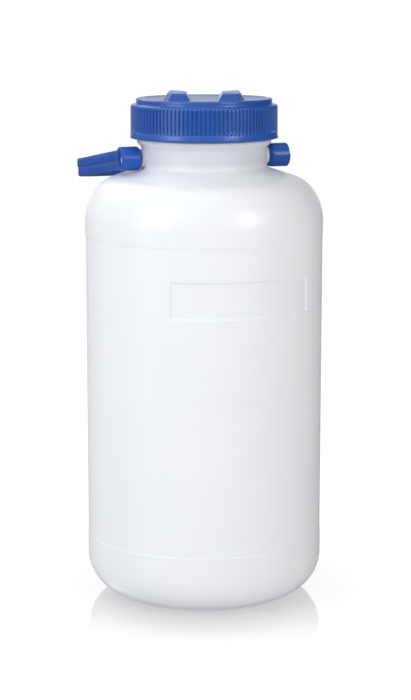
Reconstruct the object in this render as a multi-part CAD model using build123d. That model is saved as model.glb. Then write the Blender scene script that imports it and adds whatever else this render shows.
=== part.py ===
from build123d import *
import math
import os

# Wide-mouth round bottle of 5 litres with a screw cap, a sealing plug and a bail handle.
# Millimetres. The origin is on the bottle's axis in the plane it stands on. +Z is up, the
# moulded panel faces close to -Y, and the handle turns about a line parallel to X.

# Bottle body
BODY_R = 80.0
BODY_WALL = 2.2
BASE_CORNER_R = 27.0
BASE_BAND_TOP = 42.0        # the base insert of the mould stands proud up to here
UPPER_BAND_BOTTOM = 247.0   # the shoulder insert of the mould stands proud from here
BAND_PROUD = 0.3
STANDING_RING_WIDTH = 5.0
PUSH_UP_HEIGHT = 5.0
SHOULDER_TOP = 286.5        # where the ellipse of the corner would level out
SHOULDER_CORNER_WIDE = 24.0
SHOULDER_CORNER_TALL = 30.0
SHOULDER_CONE_DEG = 18.3    # the cone between the corner and the neck

# Neck
NECK_R = 42.2
NECK_WALL = 3.0
NECK_FILLET_R = 4.0
BEAD_R = 45.2
BEAD_BOTTOM = 307.3
BEAD_TOP = 311.6

# Moulded panel on the front
PANEL_ARC_DEG = 73.6
PANEL_TURN_DEG = 3.0        # the panel's middle lies this far round from -Y towards +X
PANEL_BOTTOM = 200.7
PANEL_TOP = 225.0
PANEL_DEPTH = 1.0
PANEL_BEVEL = 1.0

# Screw thread: right-handed, one start
THREAD_PITCH = 6.0
THREAD_TURNS = 1.6
THREAD_CREST_GAP = 0.5
NECK_THREAD_R = 44.6
NECK_THREAD_BOTTOM = 318.0
THREAD_ROOT_WIDTH = 2.4
THREAD_CREST_WIDTH = 1.2
THREAD_ROOT_SINK = 0.6

# Cap
CAP_BOTTOM = 312.0
CAP_TOP = 338.3
CAP_SKIRT_TOP = 334.2
CAP_BORE_R = 45.4
CAP_DISC_R = 45.7
CAP_PLATE = 2.2
CAP_BAND_TOP = 316.2
CAP_BAND_R = 49.6
CAP_RIB_R = 49.3
CAP_RIB_ROOT_R = 48.4
CAP_RIB_COUNT = 108
CAP_DISH_DEPTH = 0.7
CAP_DISH_R = 43.5
CAP_RECESS_R = 43.6
CAP_RETAINER_R = 42.8
CAP_RETAINER_HEIGHT = 0.8
CAP_RETAINER_GAP = 0.3

# The two driving lugs on the cap: corners of the right one's foot and crest
LUG_TOP = 342.3
LUG_FOOT = ((9.2, -23.5), (24.0, -23.5), (27.0, -14.0), (27.0, 32.0), (9.2, 6.3))
LUG_CREST = ((12.0, -21.0), (21.4, -21.0), (23.4, -14.67), (23.4, 27.0), (12.0, 10.54))
LUG_EDGE_R = 0.8
CAP_REST_TURN_DEG = -18.0   # where the lugs point when the cap is screwed home

# Sealing plug
PLUG_FLANGE_R = 43.2
PLUG_FLANGE = 1.6
PLUG_WALL = 1.6
PLUG_GAP = 0.3
PLUG_BOTTOM = 318.0

# The plug's flange is held between the rim of the mouth and the roof of the cap
CAP_ROOF = CAP_TOP - CAP_DISH_DEPTH - CAP_PLATE
MOUTH_TOP = CAP_ROOF - PLUG_FLANGE

# Handle
PIVOT_Z = 299.1
HANDLE_REST_DEG = -7.8      # the handle lies back and a little below level
SOCKET_R = 8.0
SOCKET_INNER_X = 46.2
SOCKET_OUTER_X = 59.0
SOCKET_INNER_ROUND = 2.6
SOCKET_BORE_R = 4.8
STUB_R = 4.7
STUB_END_X = 57.0
STUB_COLLAR_R = 6.2
STUB_COLLAR_X = 45.4
ARM_HEIGHT = 12.6
ARM_THICKNESS = 7.4
HANDLE_REACH = 126.0
GRIP_THICKNESS = 9.0
HANDLE_CORNER_R = 14.0
HANDLE_INNER_CORNER_R = 18.0
HANDLE_EDGE_R = 0.9
PARTING_GROOVE_WIDTH = 0.9
PARTING_GROOVE_DEPTH = 0.5

REVOLVE_PLANE = Plane.XZ


def turned(outline):
    """Solid of revolution about Z of a closed outline drawn as radius and height."""
    return revolve(REVOLVE_PLANE * make_face(outline), Axis.Z)


def shoulder_edges(radius, neck_r, gap):
    """Corner, cone and neck fillet of the shoulder, a constant gap inside the outer skin."""
    wide = SHOULDER_CORNER_WIDE - gap
    tall = SHOULDER_CORNER_TALL - gap
    slope = math.tan(math.radians(SHOULDER_CONE_DEG))
    centre = (radius - SHOULDER_CORNER_WIDE, SHOULDER_TOP - SHOULDER_CORNER_TALL)
    turn = math.degrees(math.atan2(tall, wide * slope))
    corner = EllipticalCenterArc(centre, wide, tall, start_angle=0, arc_size=turn)
    top = corner @ 1
    fillet_r = NECK_FILLET_R + gap
    fillet_x = neck_r + fillet_r
    cone_z = top.Y + (top.X - fillet_x) * slope
    fillet_z = cone_z + fillet_r * math.hypot(1, slope)
    neck_fillet = CenterArc((fillet_x, fillet_z), fillet_r, 180, 90 - SHOULDER_CONE_DEG)
    cone = Line(corner @ 1, neck_fillet @ 1)
    return [corner, cone, neck_fillet]


def bottle_outer():
    """Closed outer skin, from the standing ring to the rim of the mouth."""
    upper_r = BODY_R + BAND_PROUD
    ring_outer = upper_r - BASE_CORNER_R
    ring_inner = ring_outer - STANDING_RING_WIDTH
    bead_round = BEAD_R - NECK_R
    corner = CenterArc((ring_outer, BASE_CORNER_R), BASE_CORNER_R, -90, 90)
    shoulder = shoulder_edges(upper_r, NECK_R, 0)
    push_up = TangentArc((0, PUSH_UP_HEIGHT), (ring_inner, 0), tangent=(1, 0))
    lower = Polyline(
        corner @ 1,
        (upper_r, BASE_BAND_TOP),
        (BODY_R, BASE_BAND_TOP + BAND_PROUD),
        (BODY_R, UPPER_BAND_BOTTOM - BAND_PROUD),
        (upper_r, UPPER_BAND_BOTTOM),
        shoulder[0] @ 0,
    )
    neck = Polyline(
        shoulder[-1] @ 0,
        (NECK_R, BEAD_BOTTOM),
        (BEAD_R - bead_round * 0.3, BEAD_BOTTOM),
        (BEAD_R, BEAD_BOTTOM + bead_round * 0.3),
        (BEAD_R, BEAD_TOP),
        (NECK_R, BEAD_TOP),
        (NECK_R, MOUTH_TOP),
        (0, MOUTH_TOP),
        (0, PUSH_UP_HEIGHT),
    )
    ring = Line((ring_inner, 0), (ring_outer, 0))
    return turned(Curve() + [push_up, ring, corner, lower, *shoulder, neck])


def bottle_cavity():
    """The space inside the bottle, open through the mouth."""
    wall = BODY_WALL
    inner_r = BODY_R - wall
    floor_corner = BASE_CORNER_R - wall
    floor_r = inner_r - floor_corner
    mouth_r = NECK_R - NECK_WALL
    corner = CenterArc((floor_r, BASE_CORNER_R), floor_corner, -90, 90)
    shoulder = shoulder_edges(BODY_R, mouth_r, wall)
    push_up = TangentArc((0, PUSH_UP_HEIGHT + wall), (floor_r, wall), tangent=(1, 0))
    side = Line(corner @ 1, shoulder[0] @ 0)
    neck = Polyline(
        shoulder[-1] @ 0,
        (mouth_r, MOUTH_TOP + 1),
        (0, MOUTH_TOP + 1),
        (0, PUSH_UP_HEIGHT + wall),
    )
    return turned(Curve() + [push_up, corner, side, *shoulder, neck])


def panel_recess():
    """Shallow recess with sloping edges, bent round the front of the body."""
    section = Polyline(
        (BODY_R - PANEL_DEPTH, PANEL_BOTTOM + PANEL_BEVEL),
        (BODY_R + 1, PANEL_BOTTOM - PANEL_BEVEL),
        (BODY_R + 1, PANEL_TOP + PANEL_BEVEL),
        (BODY_R - PANEL_DEPTH, PANEL_TOP - PANEL_BEVEL),
        close=True,
    )
    window = revolve(Plane.XZ * make_face(section), Axis.Z, PANEL_ARC_DEG)
    return Rot(0, 0, PANEL_TURN_DEG - 90 - PANEL_ARC_DEG / 2) * window


def thread_ridge(root_r, crest_r, bottom):
    """Helical ridge of trapezoid section that stands from root_r towards crest_r."""
    inward = 1 if crest_r > root_r else -1
    sunk_r = root_r - inward * THREAD_ROOT_SINK
    path = Helix(THREAD_PITCH, THREAD_PITCH * THREAD_TURNS, root_r)
    section = Polyline(
        (sunk_r, -THREAD_ROOT_WIDTH / 2),
        (crest_r, -THREAD_CREST_WIDTH / 2),
        (crest_r, THREAD_CREST_WIDTH / 2),
        (sunk_r, THREAD_ROOT_WIDTH / 2),
        close=True,
    )
    face = REVOLVE_PLANE * make_face(section)
    return Pos(0, 0, bottom) * sweep(face, path, is_frenet=True)


def pivot_stub(side):
    """Moulded stub and its collar, which carry one socket of the handle."""
    root_x = NECK_R - NECK_WALL / 2
    tip = chamfer(Cylinder(STUB_R, STUB_END_X - root_x).edges().group_by(Axis.Z)[-1], 0.8)
    collar = Cylinder(STUB_COLLAR_R, STUB_COLLAR_X - root_x)
    toward = Plane((side * root_x, 0, PIVOT_Z), z_dir=(side, 0, 0))
    stub = toward * Pos(0, 0, (STUB_END_X - root_x) / 2) * tip
    return stub + toward * Pos(0, 0, (STUB_COLLAR_X - root_x) / 2) * collar


def bottle():
    """Blow-moulded bottle with its neck thread, bead, panel and pivot stubs."""
    skin = bottle_outer() - panel_recess()
    for side in (-1, 1):
        skin += pivot_stub(side)
    shell = skin - bottle_cavity()
    return shell + thread_ridge(NECK_R, NECK_THREAD_R, NECK_THREAD_BOTTOM)


def rib_outline():
    """Closed outline of the ribbed skirt, one rounded rib after another."""
    pitch = 2 * math.pi / CAP_RIB_COUNT
    half_rib = pitch * 0.32
    edges = []
    for index in range(CAP_RIB_COUNT):
        middle = index * pitch
        points = []
        for angle, radius in (
            (middle - half_rib, CAP_RIB_ROOT_R),
            (middle, CAP_RIB_R),
            (middle + half_rib, CAP_RIB_ROOT_R),
            (middle + pitch - half_rib, CAP_RIB_ROOT_R),
        ):
            points.append((radius * math.cos(angle), radius * math.sin(angle)))
        edges.append(ThreePointArc(*points[:3]))
        edges.append(Line(points[2], points[3]))
    return Curve() + edges


def cap_envelope():
    """Outer shape of the cap without ribs: flared band, skirt, ledge and top disc."""
    skirt_round = 1.2
    disc_round = 1.0
    ledge_fillet = 1.0
    outline = Polyline(
        (0, CAP_BOTTOM),
        (CAP_BAND_R, CAP_BOTTOM),
        (CAP_RIB_R + 0.1, CAP_BAND_TOP),
        (CAP_RIB_R + 0.1, CAP_SKIRT_TOP - skirt_round),
        (CAP_RIB_R + 0.1 - skirt_round, CAP_SKIRT_TOP),
        (CAP_DISC_R + ledge_fillet, CAP_SKIRT_TOP),
        (CAP_DISC_R, CAP_SKIRT_TOP + ledge_fillet),
        (CAP_DISC_R, CAP_TOP - disc_round),
        (CAP_DISC_R - disc_round, CAP_TOP),
        (CAP_DISH_R, CAP_TOP),
    )
    dish_floor = (0, CAP_TOP - CAP_DISH_DEPTH)
    dish = TangentArc(dish_floor, (CAP_DISH_R, CAP_TOP), tangent=(1, 0))
    axis = Line(dish_floor, (0, CAP_BOTTOM))
    return turned(Curve() + [outline, dish, axis])


def cap_hollow():
    """Inside of the cap: skirt bore, recess for the plug's flange and its retainer."""
    retainer_top = MOUTH_TOP - CAP_RETAINER_GAP
    retainer_bottom = retainer_top - CAP_RETAINER_HEIGHT
    step_r = CAP_BORE_R - CAP_RECESS_R
    outline = Polyline(
        (0, CAP_BOTTOM - 1),
        (CAP_BORE_R, CAP_BOTTOM - 1),
        (CAP_BORE_R, retainer_bottom - 2 * step_r),
        (CAP_RECESS_R, retainer_bottom - step_r),
        (CAP_RECESS_R, retainer_bottom - CAP_RETAINER_GAP),
        (CAP_RETAINER_R, retainer_bottom),
        (CAP_RETAINER_R, retainer_top),
        (CAP_RECESS_R, retainer_top),
        (CAP_RECESS_R, CAP_ROOF),
        (0, CAP_ROOF),
        close=True,
    )
    return turned(outline)


def cap_lugs():
    """Mirrored pair of drafted lugs: square at the front, cut back obliquely behind."""
    foot = CAP_TOP - CAP_DISH_DEPTH
    sections = []
    for corners, height in ((LUG_FOOT, foot), (LUG_CREST, LUG_TOP)):
        sections.append(Pos(0, 0, height) * make_face(Polyline(*corners, close=True)))
    lug = loft(sections, ruled=True)
    upper_edges = lug.edges().filter_by(lambda e: e.center().Z > foot + LUG_EDGE_R)
    lug = fillet(upper_edges, LUG_EDGE_R)
    return lug + mirror(lug, Plane.YZ)


def cap():
    """Screw cap with a ribbed grip, two lugs and an internal thread."""
    middle = (CAP_BAND_TOP + CAP_SKIRT_TOP) / 2
    band = Pos(0, 0, (CAP_BOTTOM + CAP_BAND_TOP) / 2)
    grip = extrude(Pos(0, 0, CAP_BAND_TOP) * make_face(rib_outline()), LUG_TOP - CAP_BAND_TOP)
    plain = band * Cylinder(CAP_BAND_R + 1, CAP_BAND_TOP - CAP_BOTTOM)
    body = cap_envelope() & (grip + plain)
    body += Rot(0, 0, CAP_REST_TURN_DEG) * cap_lugs()
    body -= cap_hollow()
    start = NECK_THREAD_BOTTOM - THREAD_PITCH / 2
    crest = NECK_R + THREAD_CREST_GAP
    return body + thread_ridge(CAP_BORE_R, crest, start)


def sealing_plug():
    """Cup with a flange, which closes the mouth under the cap."""
    cup_r = NECK_R - NECK_WALL - PLUG_GAP
    flange_top = MOUTH_TOP + PLUG_FLANGE
    outline = Polyline(
        (0, PLUG_BOTTOM),
        (cup_r - 1.5, PLUG_BOTTOM),
        (cup_r, PLUG_BOTTOM + 3),
        (cup_r, MOUTH_TOP),
        (PLUG_FLANGE_R, MOUTH_TOP),
        (PLUG_FLANGE_R, flange_top),
        (cup_r - PLUG_WALL, flange_top),
        (cup_r - PLUG_WALL, PLUG_BOTTOM + PLUG_WALL + 2),
        (cup_r - PLUG_WALL - 2, PLUG_BOTTOM + PLUG_WALL),
        (0, PLUG_BOTTOM + PLUG_WALL),
        close=True,
    )
    return turned(outline)


def handle_bail():
    """U-shaped bail in its own plane: two arms and the grip across their ends."""
    inner_x = SOCKET_OUTER_X - ARM_THICKNESS
    outer = RectangleRounded(2 * SOCKET_OUTER_X, 2 * HANDLE_REACH, HANDLE_CORNER_R)
    inner_reach = HANDLE_REACH - GRIP_THICKNESS
    inner = RectangleRounded(2 * inner_x, 2 * inner_reach, HANDLE_INNER_CORNER_R)
    front = Pos(0, -HANDLE_REACH) * Rectangle(4 * SOCKET_OUTER_X, 2 * HANDLE_REACH)
    plan = outer - inner - front
    bail = extrude(plan, ARM_HEIGHT / 2, both=True)
    long_edges = bail.edges().filter_by(lambda e: abs(e.center().Z) > ARM_HEIGHT / 2 - 0.1)
    return fillet(long_edges, HANDLE_EDGE_R)


def parting_groove():
    """Thin slot round the outside of the bail, in its middle plane."""
    reach = HANDLE_REACH + 1
    wide = SOCKET_OUTER_X + 1
    band = RectangleRounded(2 * wide, 2 * reach, HANDLE_CORNER_R + 1)
    keep_x = SOCKET_OUTER_X - PARTING_GROOVE_DEPTH
    keep_y = HANDLE_REACH - PARTING_GROOVE_DEPTH
    keep = RectangleRounded(2 * keep_x, 2 * keep_y, HANDLE_CORNER_R - PARTING_GROOVE_DEPTH)
    near = Pos(0, -reach + SOCKET_R) * Rectangle(4 * wide, 2 * reach)
    return extrude(band - keep - near, PARTING_GROOVE_WIDTH / 2, both=True)


def handle_socket(side):
    """Socket that turns on one stub, rounded at its inner end."""
    length = SOCKET_OUTER_X - SOCKET_INNER_X
    barrel = Cylinder(SOCKET_R, length)
    barrel = fillet(barrel.edges().group_by(Axis.Z)[0], SOCKET_INNER_ROUND)
    barrel = fillet(barrel.edges().group_by(Axis.Z)[-1], HANDLE_EDGE_R)
    middle = side * (SOCKET_OUTER_X + SOCKET_INNER_X) / 2
    return Plane((middle, 0, 0), z_dir=(side, 0, 0)) * barrel


def handle():
    """One-piece bail handle, turned to its resting place behind the neck."""
    body = handle_bail() - parting_groove()
    for side in (-1, 1):
        body += handle_socket(side)
    body -= Rot(0, 90, 0) * Cylinder(SOCKET_BORE_R, 4 * SOCKET_OUTER_X)
    return Pos(0, 0, PIVOT_Z) * Rot(HANDLE_REST_DEG, 0, 0) * body


PARTS = {
    "bottle": bottle,
    "sealing_plug": sealing_plug,
    "screw_cap": cap,
    "carry_handle": handle,
}

os.makedirs("parts", exist_ok=True)
for name, make in PARTS.items():
    shape = make()
    export_step(shape, f"parts/{name}.step")
    print(name, len(shape.solids()), round(shape.volume))
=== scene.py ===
import math

import bpy
import numpy as np
from mathutils import Matrix, Vector


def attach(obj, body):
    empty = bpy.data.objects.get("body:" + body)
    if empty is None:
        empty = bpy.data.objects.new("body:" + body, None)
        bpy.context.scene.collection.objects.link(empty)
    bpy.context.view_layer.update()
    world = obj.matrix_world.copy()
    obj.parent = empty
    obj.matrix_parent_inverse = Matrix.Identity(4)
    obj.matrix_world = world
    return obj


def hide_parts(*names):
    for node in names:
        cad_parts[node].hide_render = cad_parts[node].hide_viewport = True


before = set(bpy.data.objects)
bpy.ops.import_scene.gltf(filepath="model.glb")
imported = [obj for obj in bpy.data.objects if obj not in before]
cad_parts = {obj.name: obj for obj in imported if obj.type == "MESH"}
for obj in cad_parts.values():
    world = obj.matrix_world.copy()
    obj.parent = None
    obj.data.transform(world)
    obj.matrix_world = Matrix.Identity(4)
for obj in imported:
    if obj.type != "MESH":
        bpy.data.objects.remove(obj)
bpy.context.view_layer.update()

MM = 0.001

# The bottle, in millimetres: radii from its axis and heights above the floor
BODY_R = 80.0
BAND_R = 80.3
WALL = 2.2
RING_OUTER = 53.3
RING_INNER = 48.3
PUSH_UP = 5.0
BASE_CORNER_R = 27.0
BASE_BAND_TOP = 42.0
UPPER_BAND_BOTTOM = 247.0
SHOULDER_WIDE = 24.0
SHOULDER_TALL = 30.0
SHOULDER_TOP = 286.5
SHOULDER_CONE_DEG = 18.3
NECK_R = 42.2
NECK_FILLET_R = 4.0
MOUTH_R = 39.2
BEAD_R = 45.2
MOUTH_TOP = 333.8
PANEL_MIDDLE_DEG = -87.0
PANEL_HALF_DEG = 36.8
PANEL_BOTTOM = 200.7
PANEL_TOP = 225.0
PANEL_DEPTH = 1.0

# Screw threads: the cap's starts half a pitch lower, so that the two run between each other
PITCH = 6.0
TURNS = 1.6
BOTTLE_THREAD_CREST_R = 44.6
BOTTLE_THREAD_BOTTOM = 318.0
CAP_BORE_R = 45.4
CAP_THREAD_CREST_R = 42.7
CAP_THREAD_BOTTOM = 315.0

# Sealing plug
PLUG_BOTTOM = 318.0
PLUG_FLOOR = 319.6
PLUG_GAP = 0.3
PLUG_WALL = 1.6

# Cap
CAP_RIBS = 108
RIB_STEPS = 8
RIB_DEPTH = 1.2
CAP_TURN_DEG = -18.0
LUG_FOOT = ((9.2, -23.5), (24.0, -23.5), (27.0, -14.0), (27.0, 32.0), (9.2, 6.3))
LUG_CREST = ((12.0, -21.0), (21.4, -21.0), (23.4, -14.67), (23.4, 27.0), (12.0, 10.54))
LUG_SUNK, LUG_FOOT_Z, LUG_TOP = 336.6, 337.6, 342.3

# Handle
PIVOT_Z = 299.1
HANDLE_REST_DEG = -7.8
SOCKET_R = 8.0
SOCKET_INNER_X = 45.0
SOCKET_OUTER_X = 59.0
SOCKET_BORE_R = 4.8
STUB_R = 4.7
ARM_HALF = 6.3
HALF_SHIFT = 0.22

# Painted shade on the bottle's neck under the cap: a base colour darker than the body that stands
# in for shade, and where it fades in (metres)
NECK_PAINTED_SHADE = (0.66, 0.68, 0.72)
NECK_SHADE_FROM, NECK_SHADE_TO = 0.2908, 0.2985


# ---------------------------------------------------------------- mesh helpers

def arc(cx, cy, rx, ry, start_deg, end_deg, steps):
    """Points along an elliptical arc, both ends included."""
    angles = np.radians(np.linspace(start_deg, end_deg, steps + 1))
    return [(cx + rx * math.cos(a), cy + ry * math.sin(a)) for a in angles]


def line(p, q, steps):
    """Points from p to q without p itself."""
    return [
        (p[0] + (q[0] - p[0]) * t, p[1] + (q[1] - p[1]) * t)
        for t in np.linspace(0, 1, steps + 1)[1:]
    ]


def grid_faces(rows, columns, wrap_rows=False, offset=0):
    """Quads between successive rows of a grid whose columns close on themselves."""
    faces = []
    for i in range(rows if wrap_rows else rows - 1):
        a = offset + i * columns
        b = offset + (i + 1) % rows * columns
        for j in range(columns):
            k = (j + 1) % columns
            faces.append((a + j, a + k, b + k, b + j))
    return faces


def turned(profile, angles, shape=None):
    """Closed surface of revolution about Z. A profile point on the axis becomes one vertex.

    shape(r, z, index, angles) gives the radii of a row, where they aren't all the same.
    """
    verts, faces, rows = [], [], []
    for index, (r, z) in enumerate(profile):
        if r < 1e-6:
            rows.append([len(verts)])
            verts.append((0.0, 0.0, z))
            continue
        radii = shape(r, z, index, angles) if shape else np.full(len(angles), r)
        start = len(verts)
        rows.append(list(range(start, start + len(angles))))
        for radius, a in zip(radii, angles):
            verts.append((radius * math.cos(a), radius * math.sin(a), z))
    for low, high in zip(rows, rows[1:]):
        n = max(len(low), len(high))
        for j in range(n):
            k = (j + 1) % n
            if len(low) == 1:
                faces.append((low[0], high[k], high[j]))
            elif len(high) == 1:
                faces.append((low[j], low[k], high[0]))
            else:
                faces.append((low[j], low[k], high[k], high[j]))
    return verts, faces


def build(name, parts, material, body, node=None, sharp_deg=38):
    """One mesh object out of several (vertices in mm, faces) pairs."""
    verts, faces = [], []
    for part_verts, part_faces in parts:
        base = len(verts)
        verts += [tuple(c * MM for c in v) for v in part_verts]
        faces += [tuple(base + i for i in f) for f in part_faces]
    mesh = bpy.data.meshes.new(name)
    mesh.from_pydata(verts, [], faces)
    mesh.validate()
    mesh.polygons.foreach_set("use_smooth", [True] * len(mesh.polygons))
    mesh.set_sharp_from_angle(angle=math.radians(sharp_deg))
    mesh.materials.append(material)
    obj = bpy.data.objects.new(name, mesh)
    bpy.context.scene.collection.objects.link(obj)
    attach(obj, body)
    if node:
        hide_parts(node)
    return obj


def thread(root_r, crest_r, bottom):
    """Helical ridge of rounded trapezoid section that fades out at both ends."""
    section = [(-0.6, -1.3), (0.35, -1.1), (0.85, -0.8), (1.0, -0.5),
               (1.0, 0.5), (0.85, 0.8), (0.35, 1.1), (-0.6, 1.3)]
    steps, fade_share, root_share = 230, 0.06, 0.28
    verts, columns = [], len(section)
    for i in range(steps + 1):
        t = i / steps
        a = 2 * math.pi * TURNS * t
        fade = min(1.0, t / fade_share, (1 - t) / fade_share)
        grow = fade * fade * (3 - 2 * fade)
        for depth, dz in section:
            r = root_r + (crest_r - root_r) * depth * (root_share if depth < 0 else grow)
            verts.append((
                r * math.cos(a), r * math.sin(a),
                bottom + PITCH * TURNS * t + dz * (0.55 + 0.45 * grow),
            ))
    faces = grid_faces(steps + 1, columns)
    faces.append(tuple(reversed(range(columns))))
    faces.append(tuple(range(steps * columns, (steps + 1) * columns)))
    return verts, faces


def smooth_step(x, low, high):
    t = np.clip((x - low) / (high - low), 0, 1)
    return t * t * (3 - 2 * t)


# ------------------------------------------------------------------ materials

def principled(name, colour, roughness, ior=1.5):
    material = bpy.data.materials.new(name)
    material.use_nodes = True
    tree = material.node_tree
    shader = tree.nodes["Principled BSDF"]
    shader.inputs["Base Color"].default_value = (*colour, 1)
    shader.inputs["Roughness"].default_value = roughness
    shader.inputs["IOR"].default_value = ior
    return material, tree, shader


def object_coords(tree, scale=(1, 1, 1)):
    coords = tree.nodes.new("ShaderNodeTexCoord")
    mapping = tree.nodes.new("ShaderNodeMapping")
    mapping.inputs["Scale"].default_value = scale
    tree.links.new(coords.outputs["Object"], mapping.inputs["Vector"])
    return mapping.outputs["Vector"]


def noise(tree, vector, scale, detail=3.0, rough=0.5):
    node = tree.nodes.new("ShaderNodeTexNoise")
    node.inputs["Scale"].default_value = scale
    node.inputs["Detail"].default_value = detail
    node.inputs["Roughness"].default_value = rough
    tree.links.new(vector, node.inputs["Vector"])
    return node.outputs["Fac"]


def ramp(tree, value, low, high, out_low, out_high):
    node = tree.nodes.new("ShaderNodeMapRange")
    node.inputs["From Min"].default_value = low
    node.inputs["From Max"].default_value = high
    node.inputs["To Min"].default_value = out_low
    node.inputs["To Max"].default_value = out_high
    tree.links.new(value, node.inputs["Value"])
    return node.outputs["Result"]


def tint(tree, factor, first, second):
    """Blend of two colours; the first is a plain colour or another node's output."""
    node = tree.nodes.new("ShaderNodeMix")
    node.data_type = "RGBA"
    if isinstance(first, tuple):
        node.inputs["A"].default_value = (*first, 1)
    else:
        tree.links.new(first, node.inputs["A"])
    node.inputs["B"].default_value = (*second, 1)
    tree.links.new(factor, node.inputs["Factor"])
    return node.outputs["Result"]


def bumps(tree, shader, layers):
    """Chains bump nodes; each layer is a height output and its depth in metres."""
    normal = None
    for height, depth in layers:
        node = tree.nodes.new("ShaderNodeBump")
        node.inputs["Strength"].default_value = 1.0
        node.inputs["Distance"].default_value = depth
        tree.links.new(height, node.inputs["Height"])
        if normal:
            tree.links.new(normal, node.inputs["Normal"])
        normal = node.outputs["Normal"]
    tree.links.new(normal, shader.inputs["Normal"])


def white_polyethylene():
    """Blow-moulded bottle wall: satin, a little translucent, faintly wavy and streaked, with
    painted shade darkening the neck under the cap.
    """
    material, tree, shader = principled("white_polyethylene", (0.83, 0.845, 0.875), 0.34, 1.5)
    even = object_coords(tree)
    streaks = object_coords(tree, (1, 1, 0.06))
    cloud = noise(tree, even, 18, 3)
    lines = noise(tree, streaks, 260, 2)
    grain = noise(tree, even, 1500, 2)
    wave = noise(tree, even, 28, 1)
    factor = ramp(tree, cloud, 0.3, 0.7, 0, 1)
    colour = tint(tree, factor, (0.818, 0.833, 0.862), (0.838, 0.85, 0.875))
    split = tree.nodes.new("ShaderNodeSeparateXYZ")
    tree.links.new(even, split.inputs["Vector"])
    # painted shade: from here up the neck gets a darker base colour that stands in for the shade
    # under the cap
    neck_shade = ramp(tree, split.outputs["Z"], NECK_SHADE_FROM, NECK_SHADE_TO, 0, 1)
    neck_shade.node.interpolation_type = "SMOOTHSTEP"
    tree.links.new(tint(tree, neck_shade, colour, NECK_PAINTED_SHADE), shader.inputs["Base Color"])
    tree.links.new(ramp(tree, lines, 0.3, 0.7, 0.30, 0.37), shader.inputs["Roughness"])
    shader.inputs["Subsurface Weight"].default_value = 0.15
    shader.inputs["Subsurface Radius"].default_value = (1.0, 0.95, 0.85)
    shader.inputs["Subsurface Scale"].default_value = 0.0015
    bumps(tree, shader, [(wave, 0.0004), (lines, 0.000012), (grain, 0.000008)])
    return material


def blue_polypropylene(name, deep, pale, roughness, coat, grain_depth):
    """Injection-moulded blue plastic with a fine grain and slight flow marks."""
    material, tree, shader = principled(name, deep, roughness, 1.49)
    even = object_coords(tree)
    flow = noise(tree, even, 55, 4, 0.6)
    grain = noise(tree, even, 2600, 3)
    dust = noise(tree, even, 400, 3)
    factor = ramp(tree, flow, 0.3, 0.7, 0, 1)
    tree.links.new(tint(tree, factor, deep, pale), shader.inputs["Base Color"])
    rough = ramp(tree, dust, 0.3, 0.7, roughness - 0.05, roughness + 0.07)
    tree.links.new(rough, shader.inputs["Roughness"])
    shader.inputs["Coat Weight"].default_value = coat
    shader.inputs["Coat Roughness"].default_value = 0.17
    bumps(tree, shader, [(flow, 0.00006), (grain, grain_depth)])
    return material


def natural_polyethylene():
    """Soft, milky plug."""
    material, tree, shader = principled("natural_polyethylene", (0.80, 0.80, 0.77), 0.5, 1.51)
    even = object_coords(tree)
    cloud = noise(tree, even, 60, 3)
    grain = noise(tree, even, 1800, 2)
    factor = ramp(tree, cloud, 0.3, 0.7, 0, 1)
    colour = tint(tree, factor, (0.78, 0.78, 0.74), (0.83, 0.83, 0.81))
    tree.links.new(colour, shader.inputs["Base Color"])
    tree.links.new(ramp(tree, cloud, 0.3, 0.7, 0.45, 0.56), shader.inputs["Roughness"])
    shader.inputs["Subsurface Weight"].default_value = 0.3
    shader.inputs["Subsurface Radius"].default_value = (1.0, 0.95, 0.85)
    shader.inputs["Subsurface Scale"].default_value = 0.002
    bumps(tree, shader, [(grain, 0.00001)])
    return material


# --------------------------------------------------------------------- bottle

def around(extra, step=2.0):
    """Angles in radians round the whole turn: even steps, and the extra ones in place."""
    special = np.unique(np.round(np.mod(extra, 360.0), 4))
    even = np.arange(0, 360, step)
    gap = np.abs((even[:, None] - special[None, :] + 180) % 360 - 180).min(axis=1)
    return np.radians(np.sort(np.concatenate([even[gap > step * 0.35], special])))


def bottle_angles():
    parting = [side + d for side in (0, 180)
               for d in (-1.0, -0.5, -0.28, -0.14, 0, 0.14, 0.28, 0.5, 1.0)]
    edges = [PANEL_MIDDLE_DEG + side * (PANEL_HALF_DEG + d) for side in (-1, 1)
             for d in (-0.9, -0.45, -0.2, 0.0, 0.2, 0.45, 0.9)]
    return around(parting + edges)


def shoulder_points(radius, neck_r, gap, steps):
    """Corner, cone and neck fillet of the shoulder, from the body up to the neck."""
    wide, tall = SHOULDER_WIDE - gap, SHOULDER_TALL - gap
    slope = math.tan(math.radians(SHOULDER_CONE_DEG))
    corner = arc(radius - SHOULDER_WIDE, SHOULDER_TOP - SHOULDER_TALL, wide, tall,
                 0, math.degrees(math.atan2(tall, wide * slope)), steps)
    top_r, top_z = corner[-1]
    fillet = NECK_FILLET_R + gap
    fillet_r = neck_r + fillet
    fillet_z = top_z + (top_r - fillet_r) * slope + fillet * math.hypot(1, slope)
    curve = arc(fillet_r, fillet_z, fillet, fillet, 270 - SHOULDER_CONE_DEG, 180, steps // 2)
    return corner + line(corner[-1], curve[0], steps // 4) + curve[1:]


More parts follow.
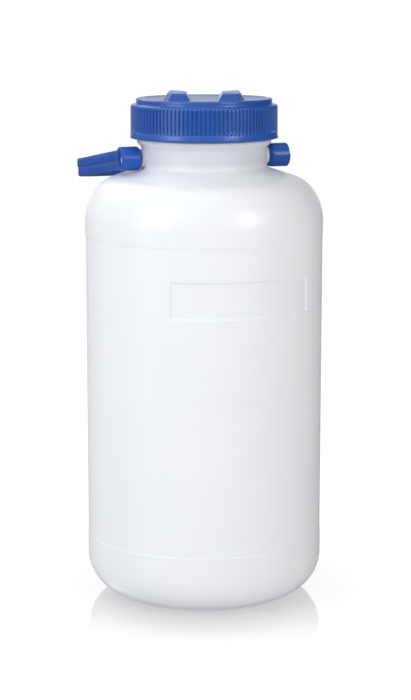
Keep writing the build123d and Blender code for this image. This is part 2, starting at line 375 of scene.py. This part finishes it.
def outer_profile():
    """Outer skin from the middle of the base up to the rim of the mouth."""
    dome_r = (RING_INNER ** 2 + PUSH_UP ** 2) / (2 * PUSH_UP)
    points = []
    for r in (0, 6, 14, 22, 30, 37, 43, 46.5):
        points.append((r, PUSH_UP - dome_r + math.sqrt(dome_r ** 2 - r ** 2)))
    points += [(47.9, 0.12), (48.8, 0.0), (50.8, 0.0)]
    points += arc(RING_OUTER, BASE_CORNER_R, BASE_CORNER_R, BASE_CORNER_R, -90, 0, 16)
    points += line((BAND_R, BASE_CORNER_R), (BAND_R, BASE_BAND_TOP - 0.5), 4)
    points += [(BAND_R - 0.02, BASE_BAND_TOP - 0.1), (BODY_R + 0.02, BASE_BAND_TOP + 0.35),
               (BODY_R, BASE_BAND_TOP + 0.9)]
    points += line((BODY_R, BASE_BAND_TOP + 0.9), (BODY_R, PANEL_BOTTOM - 1.2), 12)
    bevel = (-0.5, -0.2, 0.0, 0.2, 0.5, 0.8, 1.0, 1.3)
    points += [(BODY_R, PANEL_BOTTOM + d) for d in bevel]
    points += line(points[-1], (BODY_R, PANEL_TOP - 1.8), 6)
    points += [(BODY_R, PANEL_TOP - d) for d in reversed(bevel)]
    points += line(points[-1], (BODY_R, UPPER_BAND_BOTTOM - 0.9), 4)
    points += [(BODY_R + 0.02, UPPER_BAND_BOTTOM - 0.35), (BAND_R - 0.02, UPPER_BAND_BOTTOM + 0.1),
               (BAND_R, UPPER_BAND_BOTTOM + 0.5)]
    points += line(points[-1], (BAND_R, SHOULDER_TOP - SHOULDER_TALL - 1.5), 2)
    points += shoulder_points(BAND_R, NECK_R, 0, 22)
    points += line(points[-1], (NECK_R, 305.2), 4)
    points += [(42.28, 305.7), (42.55, 306.3), (43.0, 306.9), (44.1, 307.9), (44.6, 308.4),
               (44.95, 308.9), (45.13, 309.5), (BEAD_R, 310.1), (BEAD_R, 311.0), (45.05, 311.4),
               (44.7, 311.6), (42.9, 311.62), (42.4, 311.8), (NECK_R, 312.3)]
    points += line(points[-1], (NECK_R, MOUTH_TOP - 0.7), 8)
    points += arc(NECK_R - 0.6, MOUTH_TOP - 0.6, 0.6, 0.6, 0, 90, 3)
    return points


def inner_profile():
    """Inner skin from the rim of the mouth down to the middle of the floor."""
    points = arc(MOUTH_R + 0.6, MOUTH_TOP - 0.6, 0.6, 0.6, 90, 180, 3)
    points += line(points[-1], (MOUTH_R, 301.5), 6)
    points += reversed(shoulder_points(BODY_R, MOUTH_R, WALL, 12))
    points += line(points[-1], (BODY_R - WALL, BASE_CORNER_R), 6)
    floor_r = BASE_CORNER_R - WALL
    points += arc(BODY_R - WALL - floor_r, BASE_CORNER_R, floor_r, floor_r, 0, -90, 10)[1:]
    points += [(40, 3.4), (27, 5.2), (14, 6.7), (0, PUSH_UP + WALL)]
    return points


def bottle_shape(outer_count):
    """Radii of a row of the bottle: the sunk panel and the mould's parting line."""
    def radii(r, z, index, angles):
        out = np.full(len(angles), float(r))
        if index >= outer_count:
            return out
        degrees = np.degrees(angles)
        away = np.abs((degrees - PANEL_MIDDLE_DEG + 180) % 360 - 180)
        across = 1 - smooth_step(away, PANEL_HALF_DEG - 0.45, PANEL_HALF_DEG + 0.1)
        up = smooth_step(z, PANEL_BOTTOM - 0.2, PANEL_BOTTOM + 1.0)
        down = 1 - smooth_step(z, PANEL_TOP - 1.0, PANEL_TOP + 0.2)
        if BASE_BAND_TOP < z < UPPER_BAND_BOTTOM:
            out -= PANEL_DEPTH * across * up * down
        if 3.0 < z < 306.0 and r > NECK_R - 0.1:
            side = np.abs((degrees + 90) % 180 - 90) * math.pi / 180 * r
            out += 0.13 * np.exp(-((side / 0.28) ** 2))
        return out
    return radii


def neck_surface(y, z):
    """How far from the YZ plane the neck's skin is, at that y and z."""
    radii, heights = zip(*shoulder_points(BAND_R, NECK_R, 0, 22))
    r = float(np.interp(z, heights, radii))
    return math.sqrt(r * r - y * y)


def pivot_stub(side):
    """Stub that a socket of the handle turns on, with its fillet onto the neck."""
    steps = 40
    rings = [(7.0, None, -0.25), (6.8, None, 0.05), (6.5, None, 0.25), (6.3, None, 0.55),
             (6.2, None, 1.0), (6.2, 44.3, 0), (6.0, 44.6, 0), (5.6, 44.65, 0),
             (4.95, 44.7, 0), (STUB_R, 44.95, 0), (STUB_R, 51.5, 0), (STUB_R, 56.0, 0),
             (STUB_R - 0.25, 56.6, 0), (STUB_R - 0.8, 56.95, 0), (2.6, 57.0, 0), (1.6, 56.85, 0),
             (0.8, 56.6, 0)]
    verts = []
    for radius, x, lift in rings:
        for j in range(steps):
            a = 2 * math.pi * j / steps
            y, z = radius * math.cos(a), PIVOT_Z + radius * math.sin(a)
            reach = x if x is not None else neck_surface(y, z) + lift
            verts.append((side * reach, y, z))
    faces = grid_faces(len(rings), steps)
    faces.append(tuple(range((len(rings) - 1) * steps, len(rings) * steps)))
    if side < 0:
        faces = [tuple(reversed(f)) for f in faces]
    return verts, faces


def make_bottle(material):
    outer = outer_profile()
    angles = bottle_angles()
    shell = turned(outer + inner_profile(), angles, bottle_shape(len(outer)))
    parts = [shell, pivot_stub(-1), pivot_stub(1),
             thread(NECK_R, BOTTLE_THREAD_CREST_R, BOTTLE_THREAD_BOTTOM)]
    return build("bottle_shell", parts, material, "bottle", "bottle")


# ------------------------------------------------------------------ plug, cap

def make_plug(material):
    cup_r = MOUTH_R - PLUG_GAP
    inner = cup_r - PLUG_WALL
    top = MOUTH_TOP + PLUG_WALL
    outline = [(0, PLUG_BOTTOM), (cup_r - 6, PLUG_BOTTOM), (cup_r - 1.9, PLUG_BOTTOM + 0.05),
               (cup_r - 1.3, PLUG_BOTTOM + 0.35), (cup_r - 0.1, PLUG_BOTTOM + 2.7),
               (cup_r, PLUG_BOTTOM + 3.2)]
    outline += line(outline[-1], (cup_r, MOUTH_TOP - 0.4), 6)
    outline += [(cup_r + 0.15, MOUTH_TOP - 0.05), (cup_r + 0.5, MOUTH_TOP), (42.9, MOUTH_TOP),
                (43.15, MOUTH_TOP + 0.2), (43.2, MOUTH_TOP + 0.8), (43.1, top - 0.25), (42.8, top),
                (inner + 0.5, top), (inner + 0.1, top - 0.15), (inner, top - 0.6)]
    outline += line(outline[-1], (inner, PLUG_FLOOR + 2.4), 6)
    outline += [(inner - 0.4, PLUG_FLOOR + 1.2), (inner - 1.2, PLUG_FLOOR + 0.35),
                (inner - 2.4, PLUG_FLOOR), (16, PLUG_FLOOR), (15.4, PLUG_FLOOR + 0.15),
                (14.6, PLUG_FLOOR + 0.7), (13.8, PLUG_FLOOR + 0.7), (13.0, PLUG_FLOOR + 0.15),
                (12.4, PLUG_FLOOR), (0, PLUG_FLOOR)]
    shell = turned(outline, np.radians(np.arange(0, 360, 2.5)))
    return build("sealing_plug_cup", [shell], material, "plug", "sealing_plug")


def rib_height(angles):
    """0 in the valley between two ribs and 1 on a rib's crest, at each angle."""
    phase = np.mod(angles * CAP_RIBS / (2 * math.pi), 1.0)
    away = np.abs(phase - 0.5) * 2
    return 1 - smooth_step(away, 0.26, 0.80)


def cap_profile():
    """Outline of the cap as (radius, height, how deep the ribs' valleys are)."""
    rows = [(45.5, 312.25, 0), (45.9, 312.0, 0), (47.5, 312.0, 0), (49.2, 312.0, 0),
            (49.5, 312.12, 0), (49.6, 312.45, 0), (49.55, 313.6, 0), (49.42, 315.2, 0),
            (49.38, 315.8, 0.0), (49.34, 316.15, 0.1), (49.3, 316.45, 0.45), (49.3, 316.8, 0.8),
            (49.3, 317.3, 1.0)]
    rows += [(49.3, z, 1.0) for z in (319.0, 322.0, 325.0, 328.0, 330.0, 331.2)]
    rows += [(49.3, 331.9, 0.93), (49.26, 332.4, 0.72), (49.2, 332.8, 0.42), (49.1, 333.15, 0.16)]
    for r, z in arc(48.1, 333.1, 1.0, 1.1, 38, 90, 4):
        rows.append((r, z, 0))
    rows += [(47.3, 334.2, 0)]
    rows += [(r, z, 0) for r, z in arc(46.7, 335.0, 1.0, 0.8, 270, 180, 4)]
    rows += [(45.7, 335.9, 0), (45.7, 336.9, 0)]
    rows += [(r, z, 0) for r, z in arc(44.5, 337.1, 1.2, 1.2, 0, 90, 6)]
    for r in (44.1, 43.7, 43.3, 42.6, 41, 38, 34, 28, 21, 13, 5, 0):
        sink = smooth_step(44.2 - r, 0.0, 6.5) * 0.42 + 0.28 * (1 - (r / 44.2) ** 2)
        rows.append((r, 338.3 - float(sink), 0))
    rows += [(0, 335.4, 0), (10, 335.4, 0), (30, 335.4, 0), (43.2, 335.4, 0), (43.6, 335.1, 0),
             (43.6, 333.8, 0), (43.4, 333.5, 0), (42.9, 333.3, 0), (42.8, 333.0, 0),
             (43.0, 332.7, 0), (43.6, 332.2, 0), (43.6, 331.1, 0), (44.0, 330.4, 0),
             (45.1, 329.3, 0)]
    rows += [(CAP_BORE_R, z, 0) for z in (328.6, 324, 319, 314, 312.6)]
    return rows


def cap_shell():
    rows = cap_profile()
    steps = CAP_RIBS * RIB_STEPS
    angles = np.arange(steps) * 2 * math.pi / steps
    ribs = rib_height(angles)

    def radii(r, z, index, ring):
        return r - RIB_DEPTH * rows[index][2] * (1 - ribs)

    verts, faces = turned([(r, z) for r, z, _ in rows], angles, radii)
    first, last = range(steps), range(len(verts) - steps, len(verts))
    for j in range(steps):
        k = (j + 1) % steps
        faces.append((last[j], last[k], first[k], first[j]))
    return verts, faces


def cap_lug(side):
    """Driving lug: square in front, cut back obliquely on its inner side behind."""
    verts = []
    for z, share in ((LUG_SUNK, (LUG_SUNK - LUG_FOOT_Z) / (LUG_TOP - LUG_FOOT_Z)), (LUG_TOP, 1.0)):
        for foot, crest in zip(LUG_FOOT, LUG_CREST):
            x, y = (a + (b - a) * share for a, b in zip(foot, crest))
            verts.append((side * x, y, z))
    count = len(LUG_FOOT)
    faces = grid_faces(2, count) + [tuple(range(count, 2 * count)), tuple(reversed(range(count)))]
    if side < 0:
        faces = [tuple(reversed(f)) for f in faces]
    return verts, faces


def make_cap(material):
    inside = thread(CAP_BORE_R, CAP_THREAD_CREST_R, CAP_THREAD_BOTTOM)
    build("screw_cap_shell", [cap_shell(), inside], material, "cap", "screw_cap")
    lugs = build("screw_cap_lugs", [cap_lug(-1), cap_lug(1)], material, "cap", None,
                 sharp_deg=180)
    lugs.data.transform(Matrix.Rotation(math.radians(CAP_TURN_DEG), 4, "Z"))
    round_edges = lugs.modifiers.new("rounded", "BEVEL")
    round_edges.width = 0.9 * MM
    round_edges.segments = 4
    round_edges.limit_method = "ANGLE"
    round_edges.harden_normals = True


# --------------------------------------------------------------------- handle

def bail_stations():
    """Plan of the bail as pairs of outer and inner points, from the -X arm to the +X arm."""
    outer_corner, inner_corner = (45.0, 112.0, 14.0), (33.6, 99.0, 18.0)
    arm, grip = [], []
    for t in np.linspace(0, 1, 10):
        arm.append(((58.8, 5.4 + (112.0 - 5.4) * t), (51.6, 5.4 + (99.0 - 5.4) * t)))
    corner = []
    for a in np.radians(np.linspace(0, 90, 13))[1:]:
        c, s = math.cos(a), math.sin(a)
        ox, oy, orad = outer_corner
        ix, iy, irad = inner_corner
        corner.append(((ox - 0.2 * c + orad * c, oy + orad * s), (ix + irad * c, iy + irad * s)))
    right = arm + corner
    ox, oy = right[-1][0]
    ix, iy = right[-1][1]
    for t in np.linspace(1, -1, 9)[1:-1]:
        grip.append(((ox * t, oy), (ix * t, iy)))
    left = [((-o[0], o[1]), (-i[0], i[1])) for o, i in reversed(right)]
    return right + grip + left


def bail_section():
    """Closed section as (share of the way from inner to outer point, offset in mm, height)."""
    h, r = ARM_HALF, 0.9
    k = r * 0.29
    return [
        (1, 0.0, -(h - r)), (1, 0.0, -3.4), (1, 0.0, -0.75), (1, -0.1, -0.42), (1, -0.5, -0.2),
        (1, -0.5, 0.2), (1, -0.1, 0.42), (1, 0.0, 0.75), (1, 0.0, 3.4), (1, 0.0, h - r),
        (1, -k, h - k), (1, -r, h), (0.5, 0.0, h), (0, r, h), (0, k, h - k),
        (0, 0.0, h - r), (0, 0.0, 3.4), (0, 0.0, 0.3), (0, 0.0, -0.3), (0, 0.0, -3.4),
        (0, 0.0, -(h - r)), (0, k, -(h - k)), (0, r, -h), (0.5, 0.0, -h), (1, -r, -h),
        (1, -k, -(h - k)),
    ]


def half_shift(height):
    """The two halves of the mould don't quite meet, so one side stands a little across."""
    return -HALF_SHIFT * float(np.clip(height / 0.35, -1, 1))


def make_bail():
    stations = bail_stations()
    section = bail_section()
    verts = []
    for outer, inner in stations:
        across = Vector((outer[0] - inner[0], outer[1] - inner[1]))
        unit = across.normalized()
        for share, offset, height in section:
            p = Vector(inner) + across * share + unit * offset
            verts.append((p.x + half_shift(height), p.y, height))
    count = len(section)
    faces = grid_faces(len(stations), count)
    faces.append(tuple(reversed(range(count))))
    faces.append(tuple(range((len(stations) - 1) * count, len(stations) * count)))
    return verts, faces


def handle_socket(side):
    """Barrel with a bore, turned about X, its two halves a little out of line."""
    inner, outer = SOCKET_INNER_X, SOCKET_OUTER_X
    outline = [(SOCKET_BORE_R, inner + 0.35), (SOCKET_BORE_R + 0.35, inner)]
    outline += [(r, x) for x, r in arc(inner + 2.6, SOCKET_R - 2.6, -2.6, 2.6, 0, 90, 6)]
    outline += [(SOCKET_R, inner + 5), (SOCKET_R, outer - 0.9)]
    outline += [(r, x) for x, r in arc(outer - 0.8, SOCKET_R - 0.8, 0.8, 0.8, 90, 0, 4)]
    outline += [(SOCKET_BORE_R + 0.5, outer), (SOCKET_BORE_R + 0.12, outer - 0.15),
                (SOCKET_BORE_R, outer - 0.5)]
    angles = around([d + s for s in (0, 180) for d in (-4, -2.2, -0.8, 0, 0.8, 2.2, 4)], 6.0)
    verts = []
    for r, x in outline:
        for a in angles:
            height = r * math.sin(a)
            verts.append((side * x + half_shift(height), r * math.cos(a), height))
    faces = grid_faces(len(outline), len(angles), wrap_rows=True)
    if side > 0:
        faces = [tuple(reversed(f)) for f in faces]
    return verts, faces


def make_handle(material):
    swung = Matrix.Rotation(math.radians(HANDLE_REST_DEG), 4, "X")
    place = Matrix.Translation((0, 0, PIVOT_Z)) @ swung
    parts = []
    for verts, faces in (make_bail(), handle_socket(-1), handle_socket(1)):
        parts.append(([tuple(place @ Vector(v)) for v in verts], faces))
    return build("handle_bail", parts, material, "handle", "carry_handle")


# ---------------------------------------------------------------- the studio

CAMERA_AZIMUTH = math.radians(-18.0)
CAMERA_PITCH = math.radians(10.5)
CAMERA_DISTANCE = 1.328
CAMERA_HEIGHT = 0.413
CAMERA_ASIDE = 0.00095
LENS_MM, SENSOR_MM = 101.5, 36.0

# Level directions: from the bottle towards the camera, and to the camera's right
BACK = Vector((math.sin(CAMERA_AZIMUTH), -math.cos(CAMERA_AZIMUTH), 0))
RIGHT = Vector((math.cos(CAMERA_AZIMUTH), math.sin(CAMERA_AZIMUTH), 0))

LIGHTS_AIM = Vector((0, 0, 0.17))
COOL, WARM = (0.965, 0.98, 1.0), (1.0, 0.99, 0.97)
FLOOR_HALF = 4.0
FLOOR_DROP = 0.0001


def place_camera():
    data = bpy.data.cameras.new("camera")
    data.lens = LENS_MM
    data.sensor_width = SENSOR_MM
    data.clip_start, data.clip_end = 0.05, 50.0
    camera = bpy.data.objects.new("camera", data)
    bpy.context.scene.collection.objects.link(camera)
    level = BACK * CAMERA_DISTANCE + RIGHT * CAMERA_ASIDE
    camera.location = level + Vector((0, 0, CAMERA_HEIGHT))
    toward = -BACK * math.cos(CAMERA_PITCH) - Vector((0, 0, math.sin(CAMERA_PITCH)))
    camera.rotation_mode = "QUATERNION"
    camera.rotation_quaternion = toward.to_track_quat("-Z", "Y")
    bpy.context.scene.camera = camera


def softbox(name, side, toward_camera, height, width, tall, power, colour=(1, 1, 1)):
    """Area light that faces the bottle, placed by metres right of and towards the camera."""
    data = bpy.data.lights.new(name, "AREA")
    data.shape = "RECTANGLE"
    data.size, data.size_y = width, tall
    data.energy = power
    data.color = colour
    light = bpy.data.objects.new(name, data)
    light.location = RIGHT * side + BACK * toward_camera + Vector((0, 0, height))
    aim = LIGHTS_AIM - light.location
    light.rotation_mode = "QUATERNION"
    light.rotation_quaternion = aim.to_track_quat("-Z", "Y")
    light.visible_camera = False
    bpy.context.scene.collection.objects.link(light)


def maths(tree, operation, first, second):
    node = tree.nodes.new("ShaderNodeMath")
    node.operation = operation
    for socket, value in zip(node.inputs, (first, second)):
        if isinstance(value, float):
            socket.default_value = value
        else:
            tree.links.new(value, socket)
    return node.outputs["Value"]


def along(tree, vector, direction):
    """Share of the vector that points along a fixed direction."""
    node = tree.nodes.new("ShaderNodeVectorMath")
    node.operation = "DOT_PRODUCT"
    node.inputs[1].default_value = direction
    tree.links.new(vector, node.inputs[0])
    return node.outputs["Value"]


def room_strength(tree):
    """Brighter in front than behind, and brighter on the left than on the right.

    Behind the bottle there is a low white strip, and above it a white wall that shows only in
    reflections.
    """
    way = tree.nodes.new("ShaderNodeTexCoord").outputs["Generated"]
    up = along(tree, way, Vector((0, 0, 1)))
    front = ramp(tree, along(tree, way, BACK), -0.8, 0.6, 0.1, 0.34)
    side = ramp(tree, along(tree, way, RIGHT), -1.0, 1.0, 2.6, 0.4)
    away = along(tree, way, -BACK)
    behind = ramp(tree, away, 0.90, 0.95, 0.0, 1.1)
    low = ramp(tree, up, 0.085, 0.125, 1.0, 0.0)
    mirrored = tree.nodes.new("ShaderNodeLightPath").outputs["Is Glossy Ray"]
    wall = maths(tree, "MULTIPLY", ramp(tree, away, 0.86, 0.93, 0.0, 0.97), mirrored)
    high = ramp(tree, up, 0.17, 0.22, 0.0, 1.0)
    total = maths(tree, "MULTIPLY", front, side)
    total = maths(tree, "ADD", total, maths(tree, "MULTIPLY", behind, low))
    return maths(tree, "ADD", total, maths(tree, "MULTIPLY", wall, high))


def light_world():
    world = bpy.data.worlds.new("studio")
    bpy.context.scene.world = world
    world.use_nodes = True
    tree = world.node_tree
    room = tree.nodes["Background"]
    room.inputs["Color"].default_value = (1.0, 1.0, 1.0, 1)
    tree.links.new(room_strength(tree), room.inputs["Strength"])
    seen = tree.nodes.new("ShaderNodeBackground")
    seen.inputs["Color"].default_value = (1, 1, 1, 1)
    seen.inputs["Strength"].default_value = 1.05
    path = tree.nodes.new("ShaderNodeLightPath")
    mix = tree.nodes.new("ShaderNodeMixShader")
    tree.links.new(path.outputs["Is Camera Ray"], mix.inputs["Fac"])
    tree.links.new(room.outputs["Background"], mix.inputs[1])
    tree.links.new(seen.outputs["Background"], mix.inputs[2])
    tree.links.new(mix.outputs["Shader"], tree.nodes["World Output"].inputs["Surface"])


def floor_material():
    """White lit table that mirrors the bottle faintly near its base."""
    material = bpy.data.materials.new("white_table")
    material.use_nodes = True
    tree = material.node_tree
    tree.nodes.remove(tree.nodes["Principled BSDF"])
    coords = tree.nodes.new("ShaderNodeTexCoord")
    length = tree.nodes.new("ShaderNodeVectorMath")
    length.operation = "LENGTH"
    tree.links.new(coords.outputs["Object"], length.inputs[0])
    fade = ramp(tree, length.outputs["Value"], 0.055, 0.155, 0.62, 0.0)
    fade.node.interpolation_type = "SMOOTHSTEP"
    glow = tree.nodes.new("ShaderNodeEmission")
    path = tree.nodes.new("ShaderNodeLightPath")
    seen = ramp(tree, path.outputs["Is Camera Ray"], 0, 1, 0.06, 0.97)
    bounced = ramp(tree, path.outputs["Is Diffuse Ray"], 0, 1, 0.0, 0.8)
    tree.links.new(maths(tree, "ADD", seen, bounced), glow.inputs["Strength"])
    matt = tree.nodes.new("ShaderNodeBsdfDiffuse")
    matt.inputs["Color"].default_value = (0.1, 0.1, 0.1, 1)
    add = tree.nodes.new("ShaderNodeAddShader")
    gloss = tree.nodes.new("ShaderNodeBsdfGlossy")
    gloss.inputs["Roughness"].default_value = 0.06
    mix = tree.nodes.new("ShaderNodeMixShader")
    tree.links.new(glow.outputs["Emission"], add.inputs[0])
    tree.links.new(matt.outputs["BSDF"], add.inputs[1])
    tree.links.new(fade, mix.inputs["Fac"])
    tree.links.new(add.outputs["Shader"], mix.inputs[1])
    tree.links.new(gloss.outputs["BSDF"], mix.inputs[2])
    tree.links.new(mix.outputs["Shader"], tree.nodes["Material Output"].inputs["Surface"])
    return material


def lay_floor():
    mesh = bpy.data.meshes.new("floor")
    corners = [(x * FLOOR_HALF, y * FLOOR_HALF, 0) for x, y in ((-1, -1), (1, -1), (1, 1), (-1, 1))]
    mesh.from_pydata(corners, [], [(0, 1, 2, 3)])
    mesh.materials.append(floor_material())
    floor = bpy.data.objects.new("floor", mesh)
    floor.location.z = -FLOOR_DROP
    bpy.context.scene.collection.objects.link(floor)


def set_up_studio():
    bpy.context.scene.view_settings.view_transform = "Standard"
    place_camera()
    light_world()
    lay_floor()
    softbox("key_left", -0.95, 0.85, 0.66, 0.55, 0.8, 6.4, COOL)
    softbox("fill_right", 0.9, 0.95, 0.66, 0.4, 0.5, 6.7, WARM)
    softbox("overhead", 0.0, 0.1, 1.3, 0.8, 0.8, 2.6)
    softbox("back_left", -0.8, -0.8, 1.2, 0.7, 0.7, 7.0, COOL)


make_bottle(white_polyethylene())
make_plug(natural_polyethylene())
make_cap(blue_polypropylene("cap_polypropylene", (0.009, 0.078, 0.36), (0.013, 0.092, 0.40),
                            0.36, 0.3, 0.00001))
make_handle(blue_polypropylene("handle_polypropylene", (0.003, 0.066, 0.36), (0.005, 0.076, 0.40),
                               0.36, 0.1, 0.000008))
set_up_studio()
